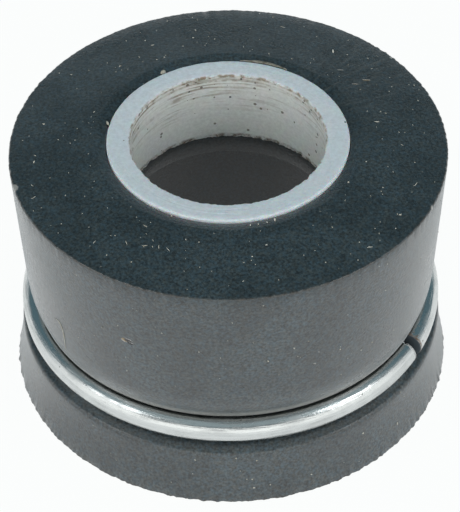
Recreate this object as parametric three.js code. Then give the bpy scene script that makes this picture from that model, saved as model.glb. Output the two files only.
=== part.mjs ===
// A valve stem seal: a moulded rubber cap with a plastic wiper insert in its crown and a split wire ring
// that clamps its neck to the valve guide. Millimetres, +Z up, the foot of the skirt on z = 0.
import * as THREE from "three";

// The clearance between pieces that touch on the real seal.
const SEAT_GAP = 0.05;

// The socket that goes over the valve guide.
const SOCKET_RADIUS = 6.4;
const LEAD_IN_WIDTH = 0.6;
const LEAD_IN_HEIGHT = 1.1;
const STOP_THICKNESS = 1.0;

// The neck, the ledge that the wire sits on, and the skirt below it.
const NECK_WALL = 1.92;
const LEDGE_HEIGHT = 3.1;
const LEDGE_DROP = 0.35;
const LIP_MARGIN = 0.05;
const SKIRT_FLARE = 0.38;

// The wall above the wire, and the crown.
const RIM_HEIGHT = 12.2;
const WALL_OVERHANG = 0.63;
const WALL_TUCK = 0.28;
const TUCK_HEIGHT = 0.9;
const WALL_FLARE = 0.37;
const GROOVE_ROOM = 0.12;
const GROOVE_RISE = 0.12;
const CROWN_RISE = 0.4;
const DISH_WIDTH = 0.5;
const DISH_DEPTH = 0.1;

// The plastic insert that wipes the valve stem.
const STEM_BORE_RADIUS = 4.28;
const INSERT_WALL = 1.03;
const INSERT_HEIGHT = 3.88;
const INSERT_PROUD = 0.14;
const INSERT_CHAMFER = 0.1;
const BORE_TAPER = 0.27;
const THROAT_MARGIN = 0.2;

// The split wire ring.
const WIRE_DIAMETER = 1.2;
const SPLIT_WIDTH = 0.36;
const SPLIT_DIRECTION_DEG = -28.6;

// Facets.
const TURN_STEPS = 72;
const WIRE_SIDES = 16;
const WIRE_STEPS = 72;
const SKIRT_STEPS = 4;
const SKIRT_CURVE = 1.6;

// Places that more than one piece shares.
const neckRadius = SOCKET_RADIUS + NECK_WALL;
const wireRadius = WIRE_DIAMETER / 2;
const wireRingRadius = neckRadius + SEAT_GAP + wireRadius;
const wireHeight = LEDGE_HEIGHT + SEAT_GAP + wireRadius;
const lipRadius = wireRingRadius + wireRadius + LIP_MARGIN;
const lipHeight = LEDGE_HEIGHT - LEDGE_DROP;
const wallFootRadius = neckRadius + WALL_OVERHANG;
const wallFootHeight = wireHeight + wireRadius + GROOVE_ROOM;
const kneeRadius = wallFootRadius + WALL_TUCK;
const rimRadius = kneeRadius + WALL_FLARE;
const insertRadius = STEM_BORE_RADIUS + INSERT_WALL;
const pocketRadius = insertRadius + SEAT_GAP;
const dishFloorHeight = RIM_HEIGHT + CROWN_RISE - DISH_DEPTH;
const insertTop = dishFloorHeight + INSERT_PROUD;
const insertFoot = insertTop - INSERT_HEIGHT;
const shelfHeight = insertFoot - SEAT_GAP;
const stopHeight = shelfHeight - STOP_THICKNESS;
const throatRadius = STEM_BORE_RADIUS + BORE_TAPER + THROAT_MARGIN;

const rubber = new THREE.MeshStandardMaterial({ color: 0x2b3439, roughness: 0.5, metalness: 0 });
const plastic = new THREE.MeshStandardMaterial({ color: 0xc9d2d6, roughness: 0.55, metalness: 0 });
const zincWire = new THREE.MeshStandardMaterial({ color: 0xb9bfc0, roughness: 0.3, metalness: 1 });

// A solid turned about the Z axis from a closed outline of [radius, height] corners.
function turned(corners) {
  const outline = [...corners, corners[0]].map(([radius, height]) => new THREE.Vector2(radius, height));
  return new THREE.LatheGeometry(outline, TURN_STEPS).rotateX(Math.PI / 2);
}

function named(name, geometry, material) {
  const mesh = new THREE.Mesh(geometry, material);
  mesh.name = name;
  return mesh;
}

// The skirt's outer corners from its foot up to the lip: it flares more and more towards the foot.
function skirtCorners() {
  return Array.from({ length: SKIRT_STEPS + 1 }, (_, step) => {
    const down = 1 - step / SKIRT_STEPS;
    return [lipRadius + SKIRT_FLARE * down ** SKIRT_CURVE, lipHeight * (1 - down)];
  });
}

// The neck up to the groove's roof, then the wall: it is tucked in over the wire and flares above that.
function neckAndWallCorners() {
  return [
    [neckRadius, LEDGE_HEIGHT],
    [neckRadius, wallFootHeight + GROOVE_RISE],
    [wallFootRadius, wallFootHeight],
    [kneeRadius, wallFootHeight + TUCK_HEIGHT],
    [rimRadius, RIM_HEIGHT],
  ];
}

function crownAndPocketCorners() {
  return [
    [pocketRadius + DISH_WIDTH, RIM_HEIGHT + CROWN_RISE],
    [pocketRadius, dishFloorHeight],
    [pocketRadius, shelfHeight],
    [throatRadius, shelfHeight],
  ];
}

function socketCorners() {
  return [
    [throatRadius, stopHeight],
    [SOCKET_RADIUS, stopHeight],
    [SOCKET_RADIUS, LEAD_IN_HEIGHT],
    [SOCKET_RADIUS + LEAD_IN_WIDTH, 0],
  ];
}

function sealBody() {
  const corners = [...skirtCorners(), ...neckAndWallCorners(), ...crownAndPocketCorners(), ...socketCorners()];
  return named("seal_body", turned(corners), rubber);
}

function ptfeInsert() {
  const boreFoot = STEM_BORE_RADIUS + BORE_TAPER;
  const corners = [
    [boreFoot, insertFoot],
    [insertRadius, insertFoot],
    [insertRadius, insertTop - INSERT_CHAMFER],
    [insertRadius - INSERT_CHAMFER, insertTop],
    [STEM_BORE_RADIUS + INSERT_CHAMFER, insertTop],
    [STEM_BORE_RADIUS, insertTop - INSERT_CHAMFER],
  ];
  return named("ptfe_insert", turned(corners), plastic);
}

// The wire's centre line: one turn, less the split.
class SplitRing extends THREE.Curve {
  constructor(radius, height, split) {
    super();
    this.radius = radius;
    this.height = height;
    this.start = THREE.MathUtils.degToRad(SPLIT_DIRECTION_DEG) + split / 2;
    this.sweep = 2 * Math.PI - split;
  }

  getPoint(t, target = new THREE.Vector3()) {
    const angle = this.start + t * this.sweep;
    return target.set(this.radius * Math.cos(angle), this.radius * Math.sin(angle), this.height);
  }
}

function wireSection() {
  const points = Array.from({ length: WIRE_SIDES }, (_, side) => {
    const angle = (2 * Math.PI * side) / WIRE_SIDES;
    return new THREE.Vector2(wireRadius * Math.cos(angle), wireRadius * Math.sin(angle));
  });
  return new THREE.Shape(points);
}

function clampRing() {
  const path = new SplitRing(wireRingRadius, wireHeight, SPLIT_WIDTH / wireRingRadius);
  const wire = new THREE.ExtrudeGeometry(wireSection(), { steps: WIRE_STEPS, extrudePath: path });
  return named("clamp_ring", wire, zincWire);
}

const seal = new THREE.Group();
seal.name = "valve_stem_seal";
seal.add(sealBody(), ptfeInsert(), clampRing());

export default seal;
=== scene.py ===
"""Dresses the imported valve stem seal: a rubber cap, its plastic insert and its split wire ring.

Lengths are in metres, +Z is up, and the foot of the skirt stands on z = 0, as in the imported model.
"""

import logging
import math
import random
from dataclasses import dataclass, field
from enum import Enum

import bmesh
import bpy
from bmesh.types import BMesh
from bpy.types import Curve, Material, Node, NodeSocket, NodeTree, Object
from mathutils import Matrix, Vector, noise


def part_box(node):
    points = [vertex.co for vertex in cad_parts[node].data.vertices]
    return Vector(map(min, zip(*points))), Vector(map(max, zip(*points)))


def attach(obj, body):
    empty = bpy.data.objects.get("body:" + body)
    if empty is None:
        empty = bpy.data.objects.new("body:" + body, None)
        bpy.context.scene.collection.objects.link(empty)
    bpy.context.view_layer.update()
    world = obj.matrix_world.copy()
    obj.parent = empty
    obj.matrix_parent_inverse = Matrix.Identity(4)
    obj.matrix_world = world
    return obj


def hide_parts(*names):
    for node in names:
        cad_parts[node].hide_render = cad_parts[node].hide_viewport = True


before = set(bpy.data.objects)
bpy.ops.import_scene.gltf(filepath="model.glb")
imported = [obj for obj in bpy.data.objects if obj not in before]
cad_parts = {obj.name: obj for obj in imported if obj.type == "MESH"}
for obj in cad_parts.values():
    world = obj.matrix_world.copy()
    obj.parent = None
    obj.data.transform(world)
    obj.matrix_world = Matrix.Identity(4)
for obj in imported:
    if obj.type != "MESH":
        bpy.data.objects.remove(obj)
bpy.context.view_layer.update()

log = logging.getLogger("valve_stem_seal")

MM = 0.001
ROOT = "root"
Colour = tuple[float, float, float]


class Slot(Enum):
    """The record's material slots."""

    RUBBER = "rubber_body"
    PTFE = "ptfe_plastic"
    WIRE = "zinc_wire"


class Socket(Enum):
    """The kinds of socket that the shader groups use."""

    VECTOR = "NodeSocketVector"
    FLOAT = "NodeSocketFloat"


@dataclass(frozen=True)
class Corner:
    """A corner of a turned outline.

    Attributes:
        radius: Distance from the axis.
        height: Height over the floor.
        rounding: Length that the rounding takes from each side, or 0 for a sharp corner.
    """

    radius: float
    height: float
    rounding: float = 0.0


@dataclass(frozen=True)
class Raggedness:
    """How a trimmed or torn edge wanders.

    Attributes:
        radius: Radius of the edge.
        height: Height of the edge.
        reach: Distance from the edge at which the wandering has died out.
        depth: Largest shift.
        pitch: Length of one tooth along the edge.
        seed: Picks the pattern.
    """

    radius: float
    height: float
    reach: float
    depth: float
    pitch: float
    seed: float


@dataclass
class SealSizes:
    """The sizes that the pieces share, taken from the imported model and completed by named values."""

    body_high: Vector = field(default_factory=lambda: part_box("seal_body")[1])
    insert_low: Vector = field(default_factory=lambda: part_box("ptfe_insert")[0])
    insert_high: Vector = field(default_factory=lambda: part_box("ptfe_insert")[1])
    ring_low: Vector = field(default_factory=lambda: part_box("clamp_ring")[0])
    ring_high: Vector = field(default_factory=lambda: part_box("clamp_ring")[1])
    seat_gap: float = 0.05 * MM
    crown_rise: float = 0.4 * MM

    @property
    def foot_radius(self) -> float:
        """Radius of the skirt's foot."""
        return self.body_high[0]

    @property
    def crown_height(self) -> float:
        """Height of the rubber crown round the insert."""
        return self.body_high[2]

    @property
    def rim_height(self) -> float:
        """Height of the top face's outer rim."""
        return self.crown_height - self.crown_rise

    @property
    def wire_radius(self) -> float:
        """Radius of the wire's section."""
        return (self.ring_high[2] - self.ring_low[2]) / 2

    @property
    def wire_height(self) -> float:
        """Height of the wire's middle."""
        return (self.ring_high[2] + self.ring_low[2]) / 2

    @property
    def ring_radius(self) -> float:
        """Radius of the ring at the wire's middle."""
        return (self.ring_high[1] - self.ring_low[1]) / 2 - self.wire_radius

    @property
    def neck_radius(self) -> float:
        """Radius of the neck behind the wire."""
        return self.ring_radius - self.wire_radius - self.seat_gap

    @property
    def insert_radius(self) -> float:
        """Outer radius of the insert."""
        return self.insert_high[0]

    @property
    def insert_top(self) -> float:
        """Height of the insert's face."""
        return self.insert_high[2]

    @property
    def insert_foot(self) -> float:
        """Height of the insert's lower end."""
        return self.insert_low[2]


def around(radius: float, height: float, azimuth_deg: float) -> Vector:
    """Returns the point at a radius, a height and an azimuth from +X.

    Args:
        radius: Distance from the axis.
        height: Height over the floor.
        azimuth_deg: Angle from +X, in degrees.

    Returns:
        The point.
    """
    angle = math.radians(azimuth_deg)
    return Vector((radius * math.cos(angle), radius * math.sin(angle), height))


def finished_object(name: str, bm: BMesh, material: Material) -> Object:
    """Turns a bmesh into a smooth-shaded object at the origin that rides on the root body.

    Args:
        name: The object's name.
        bm: The mesh, which is freed.
        material: The only material.

    Returns:
        The new object.
    """
    mesh = bpy.data.meshes.new(name)
    bm.to_mesh(mesh)
    bm.free()
    mesh.materials.append(material)
    mesh.shade_smooth()
    piece = bpy.data.objects.new(name, mesh)
    bpy.context.scene.collection.objects.link(piece)
    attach(piece, ROOT)
    return piece


@dataclass
class TurnedShape:
    """A solid of revolution made from a closed outline."""

    corners: list[Corner]
    steps: int
    longest_side: float
    rounding_segments: int = 4
    sectors: int = 20

    def _outline(self) -> BMesh:
        """Builds the rounded outline as a closed wire in the XZ plane, its long sides divided.

        Returns:
            The wire outline.
        """
        bm = bmesh.new()
        verts = [bm.verts.new((corner.radius, 0.0, corner.height)) for corner in self.corners]
        for index, vert in enumerate(verts):
            bm.edges.new((vert, verts[(index + 1) % len(verts)]))
        for vert, corner in zip(verts, self.corners):
            if corner.rounding:
                bmesh.ops.bevel(
                    bm, geom=[vert], offset=corner.rounding, offset_type="OFFSET", affect="VERTICES",
                    segments=self.rounding_segments, profile=0.5, material=-1,
                )
        for side in bm.edges[:]:
            cuts = int(side.calc_length() / self.longest_side)
            if cuts:
                bmesh.ops.subdivide_edges(bm, edges=[side], cuts=cuts)
        return bm

    def solid(self) -> BMesh:
        """Spins the outline into one sector and repeats that round the Z axis.

        Returns:
            The closed mesh, its faces outwards.
        """
        bm = self._outline()
        sector = 2 * math.pi / self.sectors
        bmesh.ops.spin(
            bm, geom=bm.verts[:] + bm.edges[:], cent=(0, 0, 0), axis=(0, 0, 1), angle=sector,
            steps=self.steps // self.sectors,
        )
        bmesh.ops.spin(
            bm, geom=bm.verts[:] + bm.edges[:] + bm.faces[:], cent=(0, 0, 0), axis=(0, 0, 1),
            angle=2 * math.pi - sector, steps=self.sectors - 1, use_duplicate=True,
        )
        bmesh.ops.remove_doubles(bm, verts=bm.verts[:], dist=0.0002 * MM)
        bmesh.ops.recalc_face_normals(bm, faces=bm.faces[:])
        return bm


def roughen_edge(bm: BMesh, edge: Raggedness) -> None:
    """Makes a turned edge wander in and out, as a knife or a torn flash leaves it.

    Args:
        bm: The mesh.
        edge: Where and how far.
    """
    for vert in bm.verts:
        radius = math.hypot(vert.co.x, vert.co.y)
        away = math.hypot(radius - edge.radius, vert.co.z - edge.height)
        if away >= edge.reach:
            continue
        direction = Vector((vert.co.x / radius, vert.co.y / radius, 0.0))
        place = direction * (edge.radius / edge.pitch)
        place.z = edge.seed
        coarse = noise.noise(place)
        fine = noise.noise(place * 2.3)
        shift = edge.depth * (1 - away / edge.reach) * (coarse + 0.6 * fine)
        vert.co += direction * shift


class ShaderBuilder:
    """Adds nodes to a tree and links them, so that a material reads as a short list."""

    def __init__(self, tree: NodeTree) -> None:
        """Keeps the tree.

        Args:
            tree: The node tree of a material, a group or the world.
        """
        self.tree = tree

    def node(self, kind: str, inputs: dict | None = None, **settings: object) -> Node:
        """Adds one node.

        Args:
            kind: The node's type name.
            inputs: Input names or numbers with a value or a socket to link.
            settings: Properties of the node.

        Returns:
            The node.
        """
        made = self.tree.nodes.new(kind)
        for name, value in settings.items():
            setattr(made, name, value)
        for name, value in (inputs or {}).items():
            self.put(made.inputs[name], value)
        return made

    def put(self, socket: NodeSocket, value: object) -> None:
        """Links a socket to an input, or sets its value.

        Args:
            socket: The input.
            value: A socket to link, or a plain value. A colour may leave out its alpha.
        """
        if isinstance(value, NodeSocket):
            self.tree.links.new(value, socket)
            return
        if socket.type == "RGBA" and len(value) == 3:
            value = (*value, 1.0)
        socket.default_value = value

    def math(self, operation: str, *values: object, clamp: bool = False) -> NodeSocket:
        """Adds a Math node and returns its output."""
        made = self.node("ShaderNodeMath", dict(enumerate(values)), operation=operation, use_clamp=clamp)
        return made.outputs[0]

    def times(self, first: object, *others: object) -> NodeSocket:
        """Multiplies two or more values.

        Args:
            first: The first value.
            others: The values that multiply it.

        Returns:
            The product.
        """
        for other in others:
            first = self.math("MULTIPLY", first, other)
        return first

    def grey(self, value: object) -> NodeSocket:
        """Spreads a value over three channels."""
        return self.node("ShaderNodeCombineXYZ", {0: value, 1: value, 2: value}).outputs[0]

    def polar(self, place: object) -> tuple[NodeSocket, NodeSocket, NodeSocket, NodeSocket]:
        """Splits a place.

        Args:
            place: The place.

        Returns:
            Its distance from the axis, then its X, Y and Z.
        """
        x, y, z = self.node("ShaderNodeSeparateXYZ", {0: place}).outputs
        return self.math("SQRT", self.math("ADD", self.times(x, x), self.times(y, y))), x, y, z

    def vector(self, operation: str, *values: object) -> Node:
        """Adds a Vector Math node and returns it."""
        return self.node("ShaderNodeVectorMath", dict(enumerate(values)), operation=operation)

    def ramp(self, value: object, low: float, high: float, start: float = 0.0, end: float = 1.0,
             smooth: bool = True) -> NodeSocket:
        """Maps a value from one range to another, clamped.

        Args:
            value: The socket to map.
            low: The value that gives start.
            high: The value that gives end.
            start: Output at low.
            end: Output at high.
            smooth: True for a smooth step.

        Returns:
            The mapped value.
        """
        inputs = {0: value, 1: low, 2: high, 3: start, 4: end}
        kind = "SMOOTHSTEP" if smooth else "LINEAR"
        return self.node("ShaderNodeMapRange", inputs, interpolation_type=kind).outputs[0]

    def blend(self, amount: object, first: object, second: object) -> NodeSocket:
        """Mixes two colours and returns the colour.

        Args:
            amount: Share of the second colour.
            first: The first colour.
            second: The second colour.

        Returns:
            The mixed colour.
        """
        made = self.node("ShaderNodeMix", data_type="RGBA")
        self.put(made.inputs[0], amount)
        self.put(made.inputs[6], first)
        self.put(made.inputs[7], second)
        return made.outputs[2]

    def noise(self, vector: object, scale: object, detail: float = 3.0, roughness: float = 0.55,
              w: object | None = None) -> NodeSocket:
        """Adds a noise texture and returns its value.

        Args:
            vector: The coordinates.
            scale: How often the pattern repeats.
            detail: Number of finer layers.
            roughness: Weight of the finer layers.
            w: A fourth coordinate, or None for three.

        Returns:
            The noise, about 0 to 1.
        """
        dimensions = "3D" if w is None else "4D"
        made = self.node("ShaderNodeTexNoise", noise_dimensions=dimensions)
        self.put(made.inputs["Vector"], vector)
        self.put(made.inputs["Scale"], scale)
        made.inputs["Detail"].default_value = detail
        made.inputs["Roughness"].default_value = roughness
        if w is not None:
            self.put(made.inputs["W"], w)
        return made.outputs[0]

    def group(self, effect: NodeTree, place: NodeSocket, **inputs: object) -> list[NodeSocket]:
        """Places a shader group.

        Args:
            effect: The group.
            place: The coordinates for its Vector input.
            inputs: Its other inputs by name.

        Returns:
            Its outputs.
        """
        made = self.node("ShaderNodeGroup", {"Vector": place, **inputs}, node_tree=effect)
        return list(made.outputs)

    def mask(self, effect: NodeTree, place: NodeSocket, **inputs: object) -> NodeSocket:
        """Places a shader group and returns its first output."""
        return self.group(effect, place, **inputs)[0]


@dataclass
class Effects:
    """The shader groups that more than one material uses."""

    grain: NodeTree = field(init=False)
    specks: NodeTree = field(init=False)
    spot: NodeTree = field(init=False)
    turned: NodeTree = field(init=False)
    edge_line: NodeTree = field(init=False)

    def __post_init__(self) -> None:
        """Builds every group once."""
        self.grain = self._grain()
        self.specks = self._specks()
        self.spot = self._spot()
        self.turned = self._turned()
        self.edge_line = self._edge_line()

    @staticmethod
    def _new(name: str, inputs: dict[str, Socket], outputs: dict[str, Socket]) -> tuple:
        """Starts a group.

        Args:
            name: The group's name.
            inputs: Input names and kinds.
            outputs: Output names and kinds.

        Returns:
            The tree, its builder, the sockets it is given and the sockets it gives.
        """
        tree = bpy.data.node_groups.new(name, "ShaderNodeTree")
        for label, kind in inputs.items():
            tree.interface.new_socket(label, in_out="INPUT", socket_type=kind.value)
        for label, kind in outputs.items():
            tree.interface.new_socket(label, in_out="OUTPUT", socket_type=kind.value)
        start = tree.nodes.new("NodeGroupInput")
        end = tree.nodes.new("NodeGroupOutput")
        return tree, ShaderBuilder(tree), start.outputs, end.inputs

    def _grain(self) -> NodeTree:
        """Fine moulded or worn grain over broad cloudiness.

        Returns:
            The group.
        """
        inputs = {"Vector": Socket.VECTOR, "Fine": Socket.FLOAT, "Broad": Socket.FLOAT}
        tree, build, given, give = self._new("grain", inputs, {"Height": Socket.FLOAT, "Clouds": Socket.FLOAT})
        fine = build.noise(given["Vector"], given["Fine"], detail=4.0, roughness=0.6)
        broad = build.noise(given["Vector"], given["Broad"], detail=5.0, roughness=0.65)
        build.put(give["Height"], fine)
        build.put(give["Clouds"], build.ramp(broad, 0.3, 0.7))
        return tree

    def _specks(self) -> NodeTree:
        """Sparse round specks of uneven size.

        Returns:
            The group.
        """
        inputs = {"Vector": Socket.VECTOR, "Scale": Socket.FLOAT, "Share": Socket.FLOAT, "Size": Socket.FLOAT}
        tree, build, given, give = self._new("specks", inputs, {"Mask": Socket.FLOAT})
        cells = build.node("ShaderNodeTexVoronoi", feature="F1")
        build.put(cells.inputs["Vector"], given["Vector"])
        build.put(cells.inputs["Scale"], given["Scale"])
        parts = build.node("ShaderNodeSeparateColor", {0: cells.outputs["Color"]})
        chosen = build.math("LESS_THAN", parts.outputs[0], given["Share"])
        reach = build.times(given["Size"], build.ramp(parts.outputs[1], 0, 1, 0.4, 1.0))
        inside = build.math("LESS_THAN", cells.outputs["Distance"], reach)
        build.put(give["Mask"], build.times(chosen, inside))
        return tree

    def _spot(self) -> NodeTree:
        """One soft mark with its own centre and half sizes.

        Returns:
            The group.
        """
        inputs = {"Vector": Socket.VECTOR, "Centre": Socket.VECTOR, "Reach": Socket.VECTOR}
        tree, build, given, give = self._new("spot", inputs, {"Mask": Socket.FLOAT})
        away = build.vector("SUBTRACT", given["Vector"], given["Centre"]).outputs[0]
        share = build.vector("DIVIDE", away, given["Reach"]).outputs[0]
        length = build.vector("LENGTH", share).outputs["Value"]
        build.put(give["Mask"], build.ramp(length, 1.0, 0.6))
        return tree

    def _turned(self) -> NodeTree:
        """Streaks that run round the axis, as turning, rubbing or wire drawing leaves them.

        Returns:
            The group.
        """
        inputs = {"Vector": Socket.VECTOR, "Along": Socket.FLOAT, "Across": Socket.FLOAT}
        tree, build, given, give = self._new("turned_streaks", inputs, {"Mask": Socket.FLOAT})
        radius, x, y, z = build.polar(given["Vector"])
        along, across = given["Along"], given["Across"]
        place = build.node("ShaderNodeCombineXYZ")
        build.put(place.inputs[0], build.times(x, along))
        build.put(place.inputs[1], build.times(y, along))
        build.put(place.inputs[2], build.times(z, across))
        streaks = build.noise(place.outputs[0], 1.0, detail=3.0, w=build.times(radius, across))
        build.put(give["Mask"], build.ramp(streaks, 0.35, 0.65))
        return tree

    def _edge_line(self) -> NodeTree:
        """A broken line that follows a round edge at a radius and a height.

        Returns:
            The group.
        """
        inputs = {
            "Vector": Socket.VECTOR, "Radius": Socket.FLOAT, "Height": Socket.FLOAT, "Reach": Socket.FLOAT,
            "Breaks": Socket.FLOAT,
        }
        tree, build, given, give = self._new("edge_line", inputs, {"Mask": Socket.FLOAT})
        radius, _, _, z = build.polar(given["Vector"])
        out = build.math("SUBTRACT", radius, given["Radius"])
        above = build.math("SUBTRACT", z, given["Height"])
        away = build.math("SQRT", build.math("ADD", build.times(out, out), build.times(above, above)))
        share = build.math("DIVIDE", away, given["Reach"])
        broken = build.noise(given["Vector"], 2600.0, detail=4.0, roughness=0.7)
        kept = build.ramp(broken, 0.42, 0.62)
        kept = build.math("ADD", build.times(kept, given["Breaks"]),
                          build.math("SUBTRACT", 1.0, given["Breaks"]))
        build.put(give["Mask"], build.times(build.ramp(share, 1.0, 0.4), kept))
        return tree


@dataclass(frozen=True)
class Finish:
    """What every finish shares: a name, the colour it starts from, and its grain and clouds per metre."""

    name: str
    colour: Colour
    grain_scales: tuple[float, float]

    def start(self) -> tuple[Material, ShaderBuilder, Node, NodeSocket]:
        """Makes an empty Principled material.

        Returns:
            The material, its builder, its Principled node and the Object coordinates.
        """
        material = bpy.data.materials.new(self.name)
        material.use_nodes = True
        build = ShaderBuilder(material.node_tree)
        shader = material.node_tree.nodes["Principled BSDF"]
        place = build.node("ShaderNodeTexCoord").outputs["Object"]
        return material, build, shader, place

    def grain(self, build: ShaderBuilder, effects: Effects, place: NodeSocket) -> list[NodeSocket]:
        """Returns the fine grain's height and the broad clouds."""
        fine_scale, broad_scale = self.grain_scales
        return build.group(effects.grain, place, Fine=fine_scale, Broad=broad_scale)

    @staticmethod
    def bump(build: ShaderBuilder, shader: Node, height: NodeSocket, distance: float) -> None:
        """Feeds a height to the shader's normal.

        Args:
            build: The material's builder.
            shader: The Principled node.
            height: The height, about 0 to 1.
            distance: The relief in metres at height 1.
        """
        relief = build.node("ShaderNodeBump", {"Height": height})
        relief.inputs["Distance"].default_value = distance
        build.put(shader.inputs["Normal"], relief.outputs[0])


@dataclass(frozen=True)
class Mark:
    """A mark that stays in its place on the rubber.

    Attributes:
        centre: Its middle.
        reach: Its half sizes along X, Y and Z.
        colour: Its colour.
        depth: Its relief: below 0 for a nick, above 0 for what sticks out.
    """

    centre: Vector
    reach: Vector
    colour: Colour
    depth: float


@dataclass(frozen=True)
class MouldedRubber(Finish):
    """Black rubber, a little bluish, lighter on the moulded sides below the rim than on the trimmed top, with
    painted light in the wall's shaded crease and in the guide socket, and painted shade in the throat.
    """

    name: str = "moulded_rubber"
    colour: Colour = (0.028, 0.041, 0.047)
    grain_scales: tuple[float, float] = (8500.0, 330.0)
    # Colour of the sides below the rim, lighter than the top.
    lower_side_colour: Colour = (0.042, 0.055, 0.061)
    # Lighter colour that stands in for light inside the guide socket: painted light.
    socket_painted_light: Colour = (0.034, 0.046, 0.051)
    # Darker colour that stands in for shade in the throat: painted shade.
    throat_painted_shade: Colour = (0.022, 0.029, 0.031)
    # Pale colour that lightens the shaded crease at the wall's foot: painted light.
    painted_crease_light: Colour = (0.30, 0.30, 0.28)
    dust: Colour = (0.36, 0.36, 0.32)
    scuff: Colour = (0.17, 0.17, 0.16)
    brown: Colour = (0.075, 0.052, 0.03)
    warm: Colour = (1.15, 1.0, 0.88)
    cold: Colour = (0.84, 1.01, 1.12)
    roughness: float = 0.30
    refraction: float = 1.6
    hue_shift: tuple[float, float, float] = (0.013, 0.029, 0.041)
    hue_scale: float = 5200.0
    # Reach and strength of the painted light in the crease.
    painted_crease_light_reach: float = 0.45 * MM
    painted_crease_light_strength: float = 0.85
    edge_reach: float = 0.10 * MM
    edge_strength: float = 0.35
    dust_strength: float = 0.5
    coat: float = 0.28
    coat_roughness: float = 0.3
    sheen: float = 0.9
    sheen_roughness: float = 0.3
    relief: float = 0.02 * MM

    def material(self, effects: Effects, cap: "RubberCap") -> Material:
        """Builds the material.

        Args:
            effects: The shared groups.
            cap: Gives the places of the edges and the marks.

        Returns:
            The material.
        """
        material, build, shader, place = self.start()
        sizes = cap.sizes
        fine, clouds = self.grain(build, effects, place)
        pores = build.mask(effects.specks, place, Scale=5200.0, Share=0.16, Size=0.2)
        dust = build.mask(effects.specks, place, Scale=2400.0, Share=0.05, Size=0.15)
        radius, x, y, z = build.polar(place)
        side = build.ramp(z, sizes.rim_height - 0.05 * MM, sizes.rim_height - 0.55 * MM)
        outside = build.ramp(radius, cap.socket_radius + 1.0 * MM, cap.socket_radius + 1.4 * MM)
        # The sides below the rim take a lighter colour than the top.
        colour = build.blend(side, self.colour, self.lower_side_colour)
        stop = sizes.insert_foot - cap.shelf_drop - cap.stop_thickness
        # Inside the socket, painted light lightens the walls below the stop and painted shade darkens the
        # throat above it.
        inside = build.blend(build.ramp(z, stop - 0.05 * MM, stop + 0.05 * MM), self.socket_painted_light, self.throat_painted_shade)
        colour = build.blend(outside, build.blend(side, self.colour, inside), colour)
        tone = build.ramp(fine, 0.34, 0.66, 0.28, 1.75, smooth=False)
        tone = build.times(tone, build.ramp(clouds, 0.0, 1.0, 0.80, 1.22))
        tone = build.times(tone, build.ramp(pores, 0.0, 1.0, 1.0, 0.6))
        colour = build.vector("MULTIPLY", colour, build.grey(tone)).outputs[0]
        apart = build.vector("ADD", place, self.hue_shift).outputs[0]
        hue = build.noise(apart, self.hue_scale, detail=3.0, roughness=0.6)
        hue = build.ramp(hue, 0.38, 0.62, smooth=False)
        colour = build.vector("MULTIPLY", colour, build.blend(hue, self.warm, self.cold)).outputs[0]
        turn = build.math("ARCTAN2", y, x)
        rays = build.node("ShaderNodeCombineXYZ", {0: build.times(turn, 45.0),
                                                   1: build.times(radius, 420.0)}).outputs[0]
        scuffed = build.mask(
            effects.spot, place, Centre=cap.on_crown(7.3 * MM, 36.0), Reach=Vector((2.9, 3.3, 2.0)) * MM,
        )
        scuffs = build.ramp(build.noise(rays, 1.0, detail=5.0, roughness=0.7), 0.50, 0.72, 0.0, 0.42)
        scuffs = build.times(scuffs, scuffed)
        colour = build.blend(scuffs, colour, self.scuff)
        # Painted light: the shaded crease where the wall's foot meets the wire is lightened with a pale
        # colour.
        painted_crease_light = build.mask(
            effects.edge_line, place, Radius=cap.wall_foot_radius, Height=cap.wall_foot_height,
            Reach=self.painted_crease_light_reach, Breaks=0.25,
        )
        colour = build.blend(build.times(painted_crease_light, self.painted_crease_light_strength), colour, self.painted_crease_light)
        for edge_radius, edge_height in ((cap.rim_radius, sizes.rim_height), (sizes.foot_radius, 0.0)):
            line = build.mask(
                effects.edge_line, place, Radius=edge_radius, Height=edge_height, Reach=self.edge_reach,
                Breaks=0.6,
            )
            colour = build.blend(build.times(line, self.edge_strength), colour, self.brown)
        colour = build.blend(build.times(dust, self.dust_strength), colour, self.dust)
        height = fine
        for mark in cap.marks():
            spot = build.mask(effects.spot, place, Centre=mark.centre, Reach=mark.reach)
            colour = build.blend(spot, colour, mark.colour)
            height = build.math("ADD", height, build.times(spot, mark.depth))
        build.put(shader.inputs["Base Color"], colour)
        rough = build.ramp(clouds, 0, 1, self.roughness - 0.04, self.roughness + 0.06)
        build.put(shader.inputs["Roughness"], rough)
        for socket, value in (
            ("IOR", self.refraction), ("Coat Weight", self.coat), ("Coat Roughness", self.coat_roughness),
            ("Sheen Weight", self.sheen), ("Sheen Roughness", self.sheen_roughness),
        ):
            shader.inputs[socket].default_value = value
        self.bump(build, shader, height, self.relief)
        return material


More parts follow.
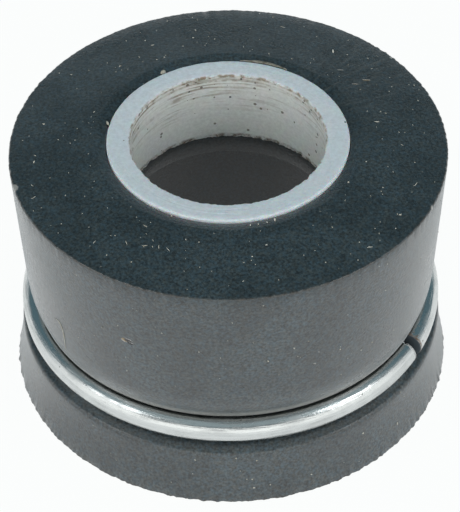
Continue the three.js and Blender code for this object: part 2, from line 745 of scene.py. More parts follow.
@dataclass(frozen=True)
class WornPtfe(Finish):
    """White plastic, bluish on its face, with brown rub lines and dark pits in the bore, whose lighter colour
    is painted light.
    """

    name: str = "worn_ptfe"
    colour: Colour = (0.76, 0.83, 0.87)
    grain_scales: tuple[float, float] = (7000.0, 700.0)
    # Lighter colour that stands in for light inside the bore: painted light.
    bore: Colour = (0.84, 0.87, 0.85)
    stained: Colour = (0.22, 0.17, 0.10)
    dirty: Colour = (0.13, 0.09, 0.05)
    speck: Colour = (0.10, 0.08, 0.05)
    pit: Colour = (0.012, 0.012, 0.012)
    subsurface: float = 0.3
    subsurface_scale: float = 0.5 * MM
    relief: float = 0.008 * MM

    def material(self, effects: Effects, insert: "WiperInsert") -> Material:
        """Builds the material.

        Args:
            effects: The shared groups.
            insert: Gives the places of the edges and the pits.

        Returns:
            The material.
        """
        material, build, shader, place = self.start()
        top, foot = insert.sizes.insert_top, insert.sizes.insert_foot
        fine, clouds = self.grain(build, effects, place)
        streaks = build.mask(effects.turned, place, Along=420.0, Across=7600.0)
        radius, x, _, z = build.polar(place)
        below = build.math("SUBTRACT", top, z)
        in_bore = build.times(build.ramp(radius, insert.bore + 0.45 * MM, insert.bore + 0.30 * MM),
                             build.ramp(below, 0.01 * MM, 0.12 * MM))
        near_edge = build.ramp(below, 3.2 * MM, 0.1 * MM)
        worn_side = build.ramp(x, 3.0 * MM, -3.6 * MM, 0.45, 1.0)
        lines = build.times(near_edge, build.ramp(streaks, 0.45, 0.95))
        patches = build.ramp(clouds, 0.15, 0.8, 0.2, 1.0)
        stain = build.times(lines, patches, in_bore, worn_side)
        # The bore takes a lighter colour than the face: painted light inside the bore.
        colour = build.blend(in_bore, self.colour, self.bore)
        colour = build.blend(build.times(stain, 0.85), colour, self.stained)
        for radius_at, height_at, reach, strength, tint in (
            (insert.bore, top - 0.08 * MM, 0.13 * MM, 0.85, self.stained),
            (insert.bore, top - 0.34 * MM, 0.09 * MM, 0.60, self.stained),
            (insert.bore + insert.bore_taper, foot, 0.30 * MM, 1.0, self.dirty),
        ):
            line = build.mask(
                effects.edge_line, place, Radius=radius_at, Height=height_at, Reach=reach, Breaks=0.85,
            )
            colour = build.blend(build.times(line, strength), colour, tint)
        crowd = build.math("ADD", build.times(build.ramp(below, 2.6 * MM, 0.1 * MM), 0.34), 0.08)
        crowd = build.times(crowd, build.math("ADD", in_bore, 0.10, clamp=True))
        specks = build.mask(effects.specks, place, Scale=3300.0, Share=crowd, Size=0.26)
        colour = build.blend(build.times(specks, 0.8), colour, self.speck)
        for centre, size in insert.pits():
            reach = Vector((size, size, size))
            pit = build.mask(effects.spot, place, Centre=centre, Reach=reach)
            colour = build.blend(pit, colour, self.pit)
        tone = build.ramp(fine, 0.25, 0.75, 0.86, 1.08, smooth=False)
        build.put(shader.inputs["Base Color"], build.vector("MULTIPLY", colour, build.grey(tone)).outputs[0])
        build.put(shader.inputs["Roughness"], build.ramp(clouds, 0, 1, 0.40, 0.54))
        shader.inputs["Subsurface Weight"].default_value = self.subsurface
        shader.inputs["Subsurface Scale"].default_value = self.subsurface_scale
        height = build.math("ADD", fine, build.times(streaks, 0.8))
        self.bump(build, shader, height, self.relief)
        return material


@dataclass(frozen=True)
class ZincWire(Finish):
    """Bright zinc plating on drawn wire, with rub marks, and a bare brown-edged cut at its far end."""

    name: str = "zinc_plate"
    colour: Colour = (0.64, 0.67, 0.67)
    grain_scales: tuple[float, float] = (5600.0, 900.0)
    dull: Colour = (0.40, 0.42, 0.42)
    pit: Colour = (0.10, 0.10, 0.09)
    slate: Colour = (0.075, 0.095, 0.11)
    rust: Colour = (0.13, 0.07, 0.03)
    relief: float = 0.005 * MM

    def material(self, effects: Effects, ring: "WireRing") -> Material:
        """Builds the material.

        Args:
            effects: The shared groups.
            ring: Gives the places of the wire's ends.

        Returns:
            The material.
        """
        material, build, shader, place = self.start()
        fine, clouds = self.grain(build, effects, place)
        drawn = build.mask(effects.turned, place, Along=520.0, Across=8000.0)
        pits = build.mask(effects.specks, place, Scale=3000.0, Share=0.07, Size=0.16)
        rub = build.times(drawn, clouds)
        colour = build.blend(build.times(rub, 0.7), self.colour, self.dull)
        colour = build.blend(build.times(pits, 0.7), colour, self.pit)
        centre, along = ring.cut_face()
        away = build.vector("SUBTRACT", place, centre).outputs[0]
        depth = build.vector("DOT_PRODUCT", away, along).outputs["Value"]
        near = build.ramp(build.vector("LENGTH", away).outputs["Value"], 1.3 * MM, 0.9 * MM)
        own_end = build.times(near, build.math("GREATER_THAN", depth, -0.1 * MM))
        face = build.times(own_end, build.ramp(depth, 0.03 * MM, 0.01 * MM))
        rusty = build.times(own_end, build.ramp(depth, 0.20 * MM, 0.05 * MM),
                            build.ramp(fine, 0.35, 0.6, 0.35, 1.0))
        flecks = build.times(build.ramp(depth, 1.2 * MM, 0.2 * MM), own_end,
                             build.ramp(fine, 0.55, 0.68))
        rusty = build.math("MAXIMUM", rusty, flecks)
        colour = build.blend(rusty, colour, self.rust)
        colour = build.blend(face, colour, self.slate)
        bare = build.math("MAXIMUM", rusty, face)
        build.put(shader.inputs["Base Color"], colour)
        build.put(shader.inputs["Metallic"], build.math("SUBTRACT", 1.0, build.times(bare, 0.85)))
        rough = build.ramp(rub, 0, 1, 0.21, 0.40)
        build.put(shader.inputs["Roughness"], build.math("MAXIMUM", rough, build.times(bare, 0.65)))
        height = build.math("ADD", fine, drawn)
        height = build.math("SUBTRACT", height, pits)
        self.bump(build, shader, height, self.relief)
        return material


@dataclass(frozen=True)
class PaleDustAndGlints(Finish):
    """Dry pale dust and torn slivers, also used for the pale specks that stand in for glints: painted
    highlights.
    """

    name: str = "pale_dust_and_glints"
    colour: Colour = (0.78, 0.77, 0.70)
    grain_scales: tuple[float, float] = (9000.0, 2600.0)
    shaded: Colour = (0.42, 0.39, 0.31)
    roughness: float = 0.9
    relief: float = 0.01 * MM

    def material(self, effects: Effects) -> Material:
        """Builds the material.

        Args:
            effects: The shared groups.

        Returns:
            The material.
        """
        material, build, shader, place = self.start()
        fine, clouds = self.grain(build, effects, place)
        colour = build.blend(clouds, self.colour, self.shaded)
        build.put(shader.inputs["Base Color"], colour)
        shader.inputs["Roughness"].default_value = self.roughness
        self.bump(build, shader, fine, self.relief)
        return material


@dataclass
class RubberCap:
    """The moulded rubber body: crown, wall, wire groove, ledge, skirt and guide socket."""

    sizes: SealSizes
    effects: Effects
    steps: int = 900
    longest_side: float = 0.75 * MM
    wall_overhang: float = 0.63 * MM
    wall_tuck: float = 0.28 * MM
    tuck_height: float = 0.9 * MM
    wall_flare: float = 0.37 * MM
    wall_foot_gap: float = 0.12 * MM
    groove_rise: float = 0.12 * MM
    ledge_drop: float = 0.35 * MM
    lip_margin: float = 0.05 * MM
    skirt_curve: float = 1.6
    skirt_points: int = 6
    dish_width: float = 0.5 * MM
    dish_depth: float = 0.1 * MM
    throat_radius: float = 4.75 * MM
    shelf_drop: float = 0.05 * MM
    stop_thickness: float = 1.0 * MM
    socket_radius: float = 6.4 * MM
    lead_in_width: float = 0.6 * MM
    lead_in_height: float = 1.1 * MM

    @property
    def ledge_height(self) -> float:
        """Height of the ledge at the neck."""
        return self.sizes.wire_height - self.sizes.wire_radius - self.sizes.seat_gap

    @property
    def wall_foot_radius(self) -> float:
        """Radius of the wall's lower edge."""
        return self.sizes.neck_radius + self.wall_overhang

    @property
    def wall_foot_height(self) -> float:
        """Height of the wall's lower edge."""
        return self.sizes.wire_height + self.sizes.wire_radius + self.wall_foot_gap

    @property
    def knee(self) -> tuple[float, float]:
        """Radius and height at which the wall begins to tuck in over the wire."""
        return self.wall_foot_radius + self.wall_tuck, self.wall_foot_height + self.tuck_height

    @property
    def rim_radius(self) -> float:
        """Radius of the top face."""
        return self.wall_foot_radius + self.wall_tuck + self.wall_flare

    def on_wall(self, height: float, azimuth_deg: float, proud: float = 0.0) -> Vector:
        """Returns a point of the wall above the knee.

        Args:
            height: Height over the floor.
            azimuth_deg: Angle from +X, in degrees.
            proud: Distance out from the wall.

        Returns:
            The point.
        """
        radius, start = self.knee
        share = (height - start) / (self.sizes.rim_height - start)
        return around(radius + share * self.wall_flare + proud, height, azimuth_deg)

    def on_crown(self, radius: float, azimuth_deg: float, proud: float = 0.0) -> Vector:
        """Returns a point of the sloped top face.

        Args:
            radius: Distance from the axis.
            azimuth_deg: Angle from +X, in degrees.
            proud: Height over the face.

        Returns:
            The point.
        """
        inner = self.sizes.insert_radius + self.sizes.seat_gap + self.dish_width
        share = min((self.rim_radius - radius) / (self.rim_radius - inner), 1.0)
        return around(radius, self.sizes.rim_height + share * self.sizes.crown_rise + proud, azimuth_deg)

    def on_skirt(self, height: float, azimuth_deg: float) -> Vector:
        """Returns a point of the skirt.

        Args:
            height: Height over the floor.
            azimuth_deg: Angle from +X, in degrees.

        Returns:
            The point.
        """
        down = 1 - height / (self.ledge_height - self.ledge_drop)
        flare = self.sizes.foot_radius - self.lip_radius
        return around(self.lip_radius + flare * down ** self.skirt_curve, height, azimuth_deg)

    @property
    def lip_radius(self) -> float:
        """Radius of the ledge's outer edge."""
        return self.sizes.ring_radius + self.sizes.wire_radius + self.lip_margin

    def _skirt(self) -> list[Corner]:
        """Corners of the flared skirt, from its foot up to the lip.

        Returns:
            The corners in their order.
        """
        lip_height = self.ledge_height - self.ledge_drop
        flare = self.sizes.foot_radius - self.lip_radius
        corners = [Corner(self.sizes.foot_radius, 0.0, 0.04 * MM)]
        for step in range(1, self.skirt_points):
            down = 1 - step / self.skirt_points
            corners.append(Corner(self.lip_radius + flare * down ** self.skirt_curve, lip_height * (1 - down)))
        return corners + [Corner(self.lip_radius, lip_height, 0.16 * MM)]

    def _outer(self) -> list[Corner]:
        """Corners from the ledge up to the rim.

        Returns:
            The corners in their order.
        """
        return [
            Corner(self.sizes.neck_radius, self.ledge_height, 0.15 * MM),
            Corner(self.sizes.neck_radius, self.wall_foot_height + self.groove_rise, 0.1 * MM),
            Corner(self.wall_foot_radius, self.wall_foot_height, 0.03 * MM),
            Corner(*self.knee, 0.4 * MM),
            Corner(self.rim_radius, self.sizes.rim_height, 0.09 * MM),
        ]

    def _inner(self) -> list[Corner]:
        """Corners from the dish round the insert down to the mouth of the socket.

        Returns:
            The corners in their order.
        """
        pocket = self.sizes.insert_radius + self.sizes.seat_gap
        shelf = self.sizes.insert_foot - self.shelf_drop
        stop = shelf - self.stop_thickness
        return [
            Corner(pocket + self.dish_width, self.sizes.crown_height, 0.05 * MM),
            Corner(pocket, self.sizes.crown_height - self.dish_depth, 0.02 * MM),
            Corner(pocket, shelf),
            Corner(self.throat_radius, shelf, 0.1 * MM),
            Corner(self.throat_radius, stop, 0.02 * MM),
            Corner(self.socket_radius, stop, 0.2 * MM),
            Corner(self.socket_radius, self.lead_in_height, 0.3 * MM),
            Corner(self.socket_radius + self.lead_in_width, 0.0, 0.08 * MM),
        ]

    def marks(self) -> list[Mark]:
        """The small marks that the rubber carries, each in its place.

        Returns:
            The marks.
        """
        cream, black, pale = (0.30, 0.22, 0.12), (0.006, 0.006, 0.006), (0.34, 0.34, 0.32)
        rim = self.rim_radius
        on_wall = (
            (8.60, -118.6, (0.20, 0.25, 0.13), cream, 2.0),
            (8.64, -117.6, (0.22, 0.25, 0.12), black, -4.0),
            (8.50, -117.0, (0.16, 0.2, 0.09), black, -4.0),
            (6.99, -145.4, (0.07, 0.2, 0.06), black, -2.0),
            (7.32, -132.2, (0.05, 0.2, 0.05), black, -2.0),
            (7.96, -52.8, (0.06, 0.2, 0.07), black, -2.0),
        )
        on_edges = (
            (9.12 * MM, 5.0 * MM, -64.4, (0.13, 0.2, 0.04), black, -3.0),
            (rim, self.sizes.rim_height, -164.5, (0.25, 0.25, 0.25), pale, -2.0),
            (rim, self.sizes.rim_height - 0.1 * MM, -25.9, (0.12, 0.12, 0.2), pale, -2.0),
            (rim - 0.1 * MM, self.sizes.rim_height, 38.0, (0.10, 0.10, 0.10), pale, 1.0),
        )
        on_crown = (
            (7.41, 32.7, (0.22, 0.06, 0.1), (0.22, 0.17, 0.10), 1.0),
            (6.79, 32.6, (0.16, 0.05, 0.1), (0.16, 0.13, 0.09), 1.0),
            (6.92, 42.5, (0.18, 0.05, 0.1), (0.12, 0.12, 0.10), 1.0),
        )
        placed = [(self.on_wall(height * MM, azimuth), *rest) for height, azimuth, *rest in on_wall]
        placed += [(around(radius, height, azimuth), *rest) for radius, height, azimuth, *rest in on_edges]
        placed += [(self.on_crown(radius * MM, azimuth), *rest) for radius, azimuth, *rest in on_crown]
        return [Mark(centre, Vector(reach) * MM, colour, depth) for centre, reach, colour, depth in placed]

    def build(self) -> Object:
        """Builds and dresses the cap.

        Returns:
            The piece.
        """
        shape = TurnedShape(self._skirt() + self._outer() + self._inner(), self.steps, self.longest_side)
        bm = shape.solid()
        for ragged in (
            Raggedness(self.sizes.foot_radius, 0.0, 0.13 * MM, 0.075 * MM, 0.30 * MM, 3.0),
            Raggedness(self.rim_radius, self.sizes.rim_height, 0.12 * MM, 0.055 * MM, 0.22 * MM, 7.0),
        ):
            roughen_edge(bm, ragged)
        piece = finished_object("rubber_cap", bm, MouldedRubber().material(self.effects, self))
        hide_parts("seal_body")
        return piece


@dataclass
class WiperInsert:
    """The white plastic bush in the crown."""

    sizes: SealSizes
    effects: Effects
    steps: int = 720
    longest_side: float = 0.25 * MM
    wall: float = 1.03 * MM
    bore_taper: float = 0.27 * MM
    edge: float = 0.1 * MM

    @property
    def bore(self) -> float:
        """Radius of the bore at the face."""
        return self.sizes.insert_radius - self.wall

    def _in_bore(self, below: float, azimuth_deg: float) -> Vector:
        """Returns the point of the bore at a depth below the face."""
        share = below / (self.sizes.insert_top - self.sizes.insert_foot)
        return around(self.bore + share * self.bore_taper, self.sizes.insert_top - below, azimuth_deg)

    def pits(self) -> list[tuple[Vector, float]]:
        """The dark pits, each with its place and its size.

        Returns:
            The pits.
        """
        in_bore = (
            (0.22, 81.5, 0.062), (0.36, 73.0, 0.045), (1.37, 88.3, 0.065), (0.34, 38.5, 0.060),
            (0.37, 30.6, 0.055), (0.70, 113.3, 0.055), (0.22, 124.3, 0.045), (1.77, 26.6, 0.045),
            (1.93, 18.5, 0.045),
        )
        placed = [(self._in_bore(below * MM, azimuth), size * MM) for below, azimuth, size in in_bore]
        return placed + [(around(5.23 * MM, self.sizes.insert_top, 10.0), 0.055 * MM)]

    def build(self) -> Object:
        """Builds and dresses the insert.

        Returns:
            The piece.
        """
        top, foot = self.sizes.insert_top, self.sizes.insert_foot
        outside = self.sizes.insert_radius
        bore = self.bore
        shape = TurnedShape(
            [
                Corner(bore + self.bore_taper, foot, 0.05 * MM),
                Corner(outside, foot, 0.1 * MM),
                Corner(outside, top, self.edge),
                Corner(bore, top, self.edge),
            ],
            self.steps,
            self.longest_side,
        )
        bm = shape.solid()
        for ragged in (
            Raggedness(bore, top, 0.20 * MM, 0.075 * MM, 0.26 * MM, 11.0),
            Raggedness(outside, top, 0.10 * MM, 0.03 * MM, 0.5 * MM, 17.0),
            Raggedness(bore + self.bore_taper, foot, 0.2 * MM, 0.075 * MM, 0.26 * MM, 23.0),
        ):
            roughen_edge(bm, ragged)
        piece = finished_object("wiper_insert", bm, WornPtfe().material(self.effects, self))
        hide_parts("ptfe_insert")
        return piece


@dataclass
class WireRing:
    """The split wire ring that clamps the neck."""

    sizes: SealSizes
    effects: Effects
    steps: int = 480
    section_sides: int = 32
    split_width: float = 0.36 * MM
    split_azimuth_deg: float = -28.6
    near_rounding: float = 0.22 * MM
    far_rounding: float = 0.05 * MM

    @property
    def half_split(self) -> float:
        """Half the angle that the split takes, in radians."""
        return self.split_width / self.sizes.ring_radius / 2

    def cut_face(self) -> tuple[Vector, Vector]:
        """Returns the middle of the far end's face, and the wire's direction from there."""
        azimuth = self.split_azimuth_deg + math.degrees(self.half_split)
        return around(self.sizes.ring_radius, self.sizes.wire_height, azimuth), around(1.0, 0.0, azimuth + 90)

    def build(self) -> Object:
        """Builds and dresses the ring.

        Returns:
            The piece.
        """
        start = math.radians(self.split_azimuth_deg) + self.half_split
        bm = bmesh.new()
        upright = Matrix.Translation((self.sizes.ring_radius, 0, self.sizes.wire_height))
        upright @= Matrix.Rotation(math.pi / 2, 4, "X")
        place = Matrix.Rotation(start, 4, "Z") @ upright
        bmesh.ops.create_circle(
            bm, cap_ends=True, segments=self.section_sides, radius=self.sizes.wire_radius, matrix=place,
        )
        bmesh.ops.spin(
            bm, geom=bm.faces[:] + bm.edges[:] + bm.verts[:], cent=(0, 0, 0), axis=(0, 0, 1),
            angle=2 * math.pi - 2 * self.half_split, steps=self.steps,
        )
        bmesh.ops.holes_fill(bm, edges=bm.edges[:], sides=0)
        bmesh.ops.recalc_face_normals(bm, faces=bm.faces[:])
        middle = self.cut_face()[0]
        ends = [face for face in bm.faces if len(face.verts) == self.section_sides]
        ends.sort(key=lambda face: (face.calc_center_median() - middle).length)
        for rim, rounding in zip([list(face.edges) for face in ends], (self.far_rounding, self.near_rounding)):
            bmesh.ops.bevel(
                bm, geom=rim, offset=rounding, offset_type="OFFSET", affect="EDGES", segments=5, profile=0.5,
                material=-1, clamp_overlap=False,
            )
        piece = finished_object("wire_ring", bm, ZincWire().material(self.effects, self))
        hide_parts("clamp_ring")
        return piece


@dataclass(frozen=True)
class Strand:
    """A hair-thin strand through a few points.

    Attributes:
        route: The points that it follows.
        width: Its thickness in the middle.
    """

    route: list[Vector]
    width: float

    def add_to(self, curve: Curve) -> None:
        """Adds the strand to a curve whose bevel depth is 1.

        Args:
            curve: The curve that collects the strands.
        """
        spline = curve.splines.new("BEZIER")
        spline.bezier_points.add(len(self.route) - 1)
        for index, (point, place) in enumerate(zip(spline.bezier_points, self.route)):
            point.co = place
            point.handle_left_type = point.handle_right_type = "AUTO"
            along = index / (len(self.route) - 1)
            point.radius = self.width / 2 * (0.45 + 0.55 * math.sin(math.pi * along))


@dataclass
class Debris:
    """Dust, fibres and a torn film that lie on the seal, and pale specks by the insert that stand in for
    glints as painted highlights.
    """

    sizes: SealSizes
    effects: Effects
    cap: RubberCap
    specks: int = 380
    fibres: int = 16
    seed: int = 5
    grain_growth: float = 1.35
    crown_share: float = 0.45
    crown_and_wall_share: float = 0.85
    film_thickness: float = 0.02 * MM
    strand_lift: float = 0.012 * MM
    hair_width: float = 0.045 * MM

    def _add_speck(self, bm: BMesh, place: Vector, size: float, chance: random.Random) -> None:
        """Adds one speck, a squashed and turned little chip.

        Args:
            bm: The mesh that collects the specks.
            place: The speck's middle.
            size: Its radius.
            chance: The random numbers.
        """
        turn = Matrix.Rotation(chance.uniform(0, math.pi), 4, Vector((chance.random(), chance.random(), 1)))
        squash = Matrix.Diagonal((chance.uniform(0.8, 1.9), chance.uniform(0.7, 1.1), 0.6, 1.0))
        made = bmesh.ops.create_icosphere(
            bm, subdivisions=1, radius=size, matrix=Matrix.Translation(place) @ turn @ squash,
        )
        for vert in made["verts"]:
            vert.co += (vert.co - place) * chance.uniform(-0.25, 0.25)

    def _larger_grains_and_glints(self) -> list[tuple[Vector, float]]:
        """The larger grains, each with its place and its size in millimetres; the last four by the insert are
        pale specks that stand in for glints, painted highlights.

        Returns:
            The grains.
        """
        cap, face = self.cap, self.sizes.insert_top
        on_crown = (
            (7.83, 51.7, 0.050), (8.23, 169.9, 0.040), (8.49, -173.0, 0.036), (5.92, -30.3, 0.040),
            (8.64, -33.4, 0.030),
        )
        on_wall = ((8.74, -73.8, 0.032), (8.21, -80.6, 0.036))
        on_skirt = (
            (2.50, -89.3, 0.038), (2.28, -100.0, 0.032), (1.93, -53.4, 0.038), (1.06, -41.0, 0.036),
            (0.74, -84.8, 0.034), (0.80, -80.6, 0.034), (1.24, -86.6, 0.032),
        )
        # The rows at -81.0 to -69.9 degrees are pale specks that stand in for glints on the dish's edge:
        # painted highlights; the rest are grains.
        insert_grains_and_glints = (
            (5.40, 0.05, 167.7, 0.075), (5.46, 0.06, 121.7, 0.070), (5.42, 0.08, -116.6, 0.045),
            (5.60, 0.08, -81.0, 0.030), (5.62, 0.08, -77.5, 0.024), (5.58, 0.08, -73.6, 0.028),
            (5.58, 0.08, -69.9, 0.042),
        )
        placed = [(cap.on_crown(radius * MM, azimuth), size) for radius, azimuth, size in on_crown]
        placed += [(cap.on_wall(height * MM, azimuth), size) for height, azimuth, size in on_wall]
        placed += [(cap.on_skirt(height * MM, azimuth), size) for height, azimuth, size in on_skirt]
        placed += [(around(radius * MM, face - below * MM, azimuth), size)
                   for radius, below, azimuth, size in insert_grains_and_glints]
        return [(place, self.grain_growth * size) for place, size in placed]

    def _somewhere(self, chance: random.Random) -> Vector:
        """Picks a place on the crown, the wall or the skirt.

        Args:
            chance: The random numbers.

        Returns:
            The point.
        """
        azimuth = chance.uniform(-180, 180)
        kind = chance.random()
        if kind < self.crown_share:
            return self.cap.on_crown(chance.uniform(6.0, 9.4) * MM, azimuth)
        if kind < self.crown_and_wall_share:
            return self.cap.on_wall(chance.uniform(5.6, 11.9) * MM, azimuth)
        return self.cap.on_skirt(chance.uniform(0.3, 2.4) * MM, azimuth)

    def build_dust_and_glints(self) -> Object:
        """Scatters dust over the rubber, with the larger grains and the painted glints by the insert in their
        places.

        Returns:
            The piece.
        """
        chance = random.Random(self.seed)
        bm = bmesh.new()
        for place, size in self._larger_grains_and_glints():
            self._add_speck(bm, place, size * MM, chance)
        for _ in range(self.specks):
            self._add_speck(bm, self._somewhere(chance), chance.uniform(0.014, 0.034) * MM, chance)
        piece = finished_object("dust_and_glint_specks", bm, PaleDustAndGlints().material(self.effects))
        return piece

    def _scratch_hair(self) -> Strand:
        """The curved hair on the wall at the left.

        Returns:
            The strand.
        """
        places = (
            (6.99, -145.2), (7.05, -143.6), (6.80, -142.4), (6.30, -141.9), (5.75, -142.0), (5.45, -141.8),
        )
        route = [self.cap.on_wall(height * MM, azimuth, self.strand_lift) for height, azimuth in places]
        return Strand(route, self.hair_width)

    def _short_fibre(self, chance: random.Random) -> Strand:
        """A short fibre somewhere on the crown, most of them at the lower left.

        Args:
            chance: The random numbers.

        Returns:
            The strand.
        """
        azimuth = chance.gauss(-125, 22) if chance.random() < 0.6 else chance.uniform(-180, 180)
        radius = chance.uniform(6.2, 9.0) * MM
        step = chance.uniform(0.04, 0.09) * MM
        heading = chance.uniform(0, 2 * math.pi)
        route = []
        for index in range(4):
            out = radius + index * step * math.sin(heading)
            turned = azimuth + math.degrees(index * step * math.cos(heading) / radius)
            route.append(self.cap.on_crown(out, turned, self.strand_lift))
            heading += chance.uniform(-0.22, 0.22)
        return Strand(route, chance.uniform(0.022, 0.036) * MM)

    def build_fibres(self) -> Object:
        """Lays the fibres on the crown and the hair on the wall.

        Returns:
            The piece.
        """
        chance = random.Random(self.seed + 1)
        curve = bpy.data.curves.new("fibre_routes", "CURVE")
        curve.dimensions = "3D"
        curve.bevel_depth = 1.0
        curve.bevel_resolution = 1
        curve.resolution_u = 4
        curve.use_fill_caps = True
        self._scratch_hair().add_to(curve)
        for _ in range(self.fibres):
            self._short_fibre(chance).add_to(curve)
        guide = bpy.data.objects.new("fibre_routes", curve)
        bpy.context.scene.collection.objects.link(guide)
        bm = bmesh.new()
        bm.from_mesh(bpy.data.meshes.new_from_object(guide))
        bpy.data.objects.remove(guide)
        bmesh.ops.remove_doubles(bm, verts=bm.verts[:], dist=0.0002 * MM)
        bmesh.ops.recalc_face_normals(bm, faces=bm.faces[:])
        piece = finished_object("fibres", bm, PaleDustAndGlints(name="fibre").material(self.effects))
        return piece

    def build_film(self) -> Object:
        """Builds the torn film that curls out over the insert's far edge.

        Returns:
            The piece.
        """
        start, end, bulge = 59.5, 83.5, 0.20 * MM
        across, along = 4, 40
        bm = bmesh.new()
        bmesh.ops.create_grid(bm, x_segments=along, y_segments=across, size=0.5)
        for vert in bm.verts:
            share, out = vert.co.x + 0.5, vert.co.y + 0.5
            azimuth = start + share * (end - start)
            width = bulge * math.sin(math.pi * share) ** 0.7 + 0.015 * MM
            ripple = 0.02 * MM * noise.noise(Vector((share * 9, out * 2, 4.0)))
            radius = self.sizes.insert_radius - 0.02 * MM + width * out
            height = self.sizes.insert_top + (0.035 * math.sin(math.pi * out) - 0.06 * out) * MM + ripple
            vert.co = around(radius, height, azimuth)
        bmesh.ops.recalc_face_normals(bm, faces=bm.faces[:])
        bmesh.ops.solidify(bm, geom=bm.faces[:], thickness=self.film_thickness)
        finish = PaleDustAndGlints(name="torn_edge", colour=(0.34, 0.33, 0.28), shaded=(0.12, 0.11, 0.08))
        piece = finished_object("torn_film", bm, finish.material(self.effects))
        return piece


@dataclass(frozen=True)
class Softbox:
    """A square lamp that looks at the seal.

    Attributes:
        name: The lamp's name.
        azimuth_deg: Its direction from the seal, from +X.
        elevation_deg: Its height angle.
        distance: Distance from the seal.
        size: Its side length.
        watts: Its power.
    """

    name: str
    azimuth_deg: float
    elevation_deg: float = 45.0
    distance: float = 0.30
    size: float = 0.09
    watts: float = 0.11

    def build(self, target: Vector) -> None:
        """Hangs the lamp.

        Args:
            target: The point it looks at.
        """
        rise = math.radians(self.elevation_deg)
        away = around(self.distance * math.cos(rise), self.distance * math.sin(rise), self.azimuth_deg)
        lamp = bpy.data.lights.new(self.name, "AREA")
        lamp.energy = self.watts
        lamp.size = self.size
        holder = bpy.data.objects.new(self.name, lamp)
        holder.location = target + away
        holder.rotation_euler = (-away).to_track_quat("-Z", "Y").to_euler()
        bpy.context.scene.collection.objects.link(holder)


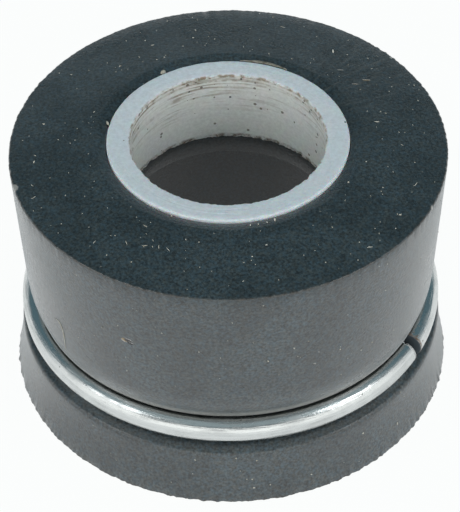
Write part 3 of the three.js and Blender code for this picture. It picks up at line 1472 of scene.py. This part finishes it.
@dataclass
class Studio:
    """The floor, the lamps, the surroundings and the camera."""

    sizes: SealSizes
    rim_radius: float
    floor_size: float = 6.0
    camera_distance: float = 10.8075
    camera_elevation_deg: float = 41.123
    camera_pitch_deg: float = 43.800
    camera_roll_deg: float = -0.959
    focal_pixels: float = 2371.4
    frame_height_pixels: int = 512
    sensor_mm: float = 36.0
    clip_start: float = 0.005
    clip_end: float = 20.0
    floor_colour: Colour = (0.80, 0.81, 0.81)
    glow_colour: Colour = (0.985, 1.0, 0.995)
    glow_share: float = 0.97
    horizon: Colour = (0.95, 0.96, 0.96)
    horizon_in_front: Colour = (1.40, 1.40, 1.37)
    dark_band: Colour = (0.06, 0.07, 0.08)
    ceiling: Colour = (0.33, 0.40, 0.42)
    dim_back: Colour = (0.10, 0.17, 0.20)
    lamp_azimuths_deg: tuple[float, float] = (-22.0, -158.0)

    def _floor(self) -> None:
        """Lays the pale floor, white to the camera and in reflections, with the seal's shadow kept; under the
        seal its glow is halved as a painted shade.
        """
        bm = bmesh.new()
        bmesh.ops.create_grid(bm, x_segments=1, y_segments=1, size=self.floor_size / 2)
        mesh = bpy.data.meshes.new("floor")
        bm.to_mesh(mesh)
        bm.free()
        floor = bpy.data.objects.new("floor", mesh)
        bpy.context.scene.collection.objects.link(floor)
        material = bpy.data.materials.new("pale_floor")
        material.use_nodes = True
        build = ShaderBuilder(material.node_tree)
        material.node_tree.nodes.remove(material.node_tree.nodes["Principled BSDF"])
        matt = build.node("ShaderNodeBsdfDiffuse", {"Color": self.floor_colour})
        glow = build.node("ShaderNodeEmission", {"Color": self.glow_colour, "Strength": 1.0})
        path = build.node("ShaderNodeLightPath")
        seen = build.math("ADD", path.outputs["Is Camera Ray"], path.outputs["Is Glossy Ray"], clamp=True)
        seen = build.math("ADD", seen, path.outputs["Is Transmission Ray"], clamp=True)
        place = build.node("ShaderNodeTexCoord").outputs["Object"]
        # Painted shade: the glow is halved under the seal, standing in for its shadow there.
        glow_cut_for_painted_shade = build.ramp(build.vector("LENGTH", place).outputs["Value"], 7.0 * MM, 9.5 * MM, 0.5, 1.0)
        shown = build.times(seen, glow_cut_for_painted_shade, self.glow_share)
        mix = build.node("ShaderNodeMixShader", {0: shown})
        build.put(mix.inputs[1], matt.outputs[0])
        build.put(mix.inputs[2], glow.outputs[0])
        build.put(material.node_tree.nodes["Material Output"].inputs[0], mix.outputs[0])
        mesh.materials.append(material)

    def _surroundings(self) -> None:
        """Lights the room: bright round the horizon, a dark band above it, a dim ceiling and a dim back."""
        world = bpy.data.worlds.new("studio")
        world.use_nodes = True
        bpy.context.scene.world = world
        build = ShaderBuilder(world.node_tree)
        back = world.node_tree.nodes["Background"]
        place = build.node("ShaderNodeTexCoord").outputs["Generated"]
        parts = build.node("ShaderNodeSeparateXYZ", {0: place})
        rise = parts.outputs[2]
        front = build.ramp(parts.outputs[1], 0.3, -0.7)
        low = build.blend(front, self.horizon, self.horizon_in_front)
        behind = build.times(build.ramp(parts.outputs[1], 0.0, 0.4), build.ramp(rise, 0.08, 0.25))
        colour = build.blend(build.ramp(rise, 0.53, 0.60), low, self.dark_band)
        colour = build.blend(build.ramp(rise, 0.69, 0.76), colour, self.ceiling)
        colour = build.blend(behind, colour, self.dim_back)
        build.put(back.inputs["Color"], colour)
        back.inputs["Strength"].default_value = 1.0

    def _camera(self) -> None:
        """Sets the camera at the photograph's viewing angle."""
        pitch = math.radians(self.camera_pitch_deg)
        elevation = math.radians(self.camera_elevation_deg)
        distance = self.camera_distance * self.rim_radius
        back, rise = distance * math.cos(elevation), distance * math.sin(elevation)
        place = Vector((0, -back, rise + self.sizes.rim_height))
        forward = Vector((0, math.cos(pitch), -math.sin(pitch)))
        right = Vector((1, 0, 0))
        up = right.cross(forward)
        roll = math.radians(self.camera_roll_deg)
        turned_right = math.cos(roll) * right + math.sin(roll) * up
        turned_up = math.cos(roll) * up - math.sin(roll) * right
        lens = bpy.data.cameras.new("camera")
        lens.sensor_width = self.sensor_mm
        lens.lens = self.focal_pixels * self.sensor_mm / self.frame_height_pixels
        lens.clip_start, lens.clip_end = self.clip_start, self.clip_end
        camera = bpy.data.objects.new("camera", lens)
        axes = Matrix((turned_right, turned_up, -forward)).transposed().to_4x4()
        camera.matrix_world = Matrix.Translation(place) @ axes
        bpy.context.scene.collection.objects.link(camera)
        bpy.context.scene.camera = camera

    def build(self) -> None:
        """Builds the whole studio."""
        self._floor()
        self._surroundings()
        target = Vector((0, 0, self.sizes.rim_height / 2))
        for name, azimuth in zip(("right_box", "left_box"), self.lamp_azimuths_deg):
            Softbox(name, azimuth).build(target)
        self._camera()
        bpy.context.scene.view_settings.view_transform = "Standard"


def main() -> None:
    """Builds every piece in order and reports it."""
    logging.basicConfig(level=logging.INFO, format="%(name)s: %(message)s")
    sizes = SealSizes()
    effects = Effects()
    cap = RubberCap(sizes, effects)
    debris = Debris(sizes, effects, cap)
    pieces = [
        cap.build(),
        WiperInsert(sizes, effects).build(),
        WireRing(sizes, effects).build(),
        debris.build_dust_and_glints(),
        debris.build_fibres(),
        debris.build_film(),
    ]
    for piece in pieces:
        log.info("%s: %d faces", piece.name, len(piece.data.polygons))
    Studio(sizes, cap.rim_radius).build()


if __name__ == "__main__":
    main()
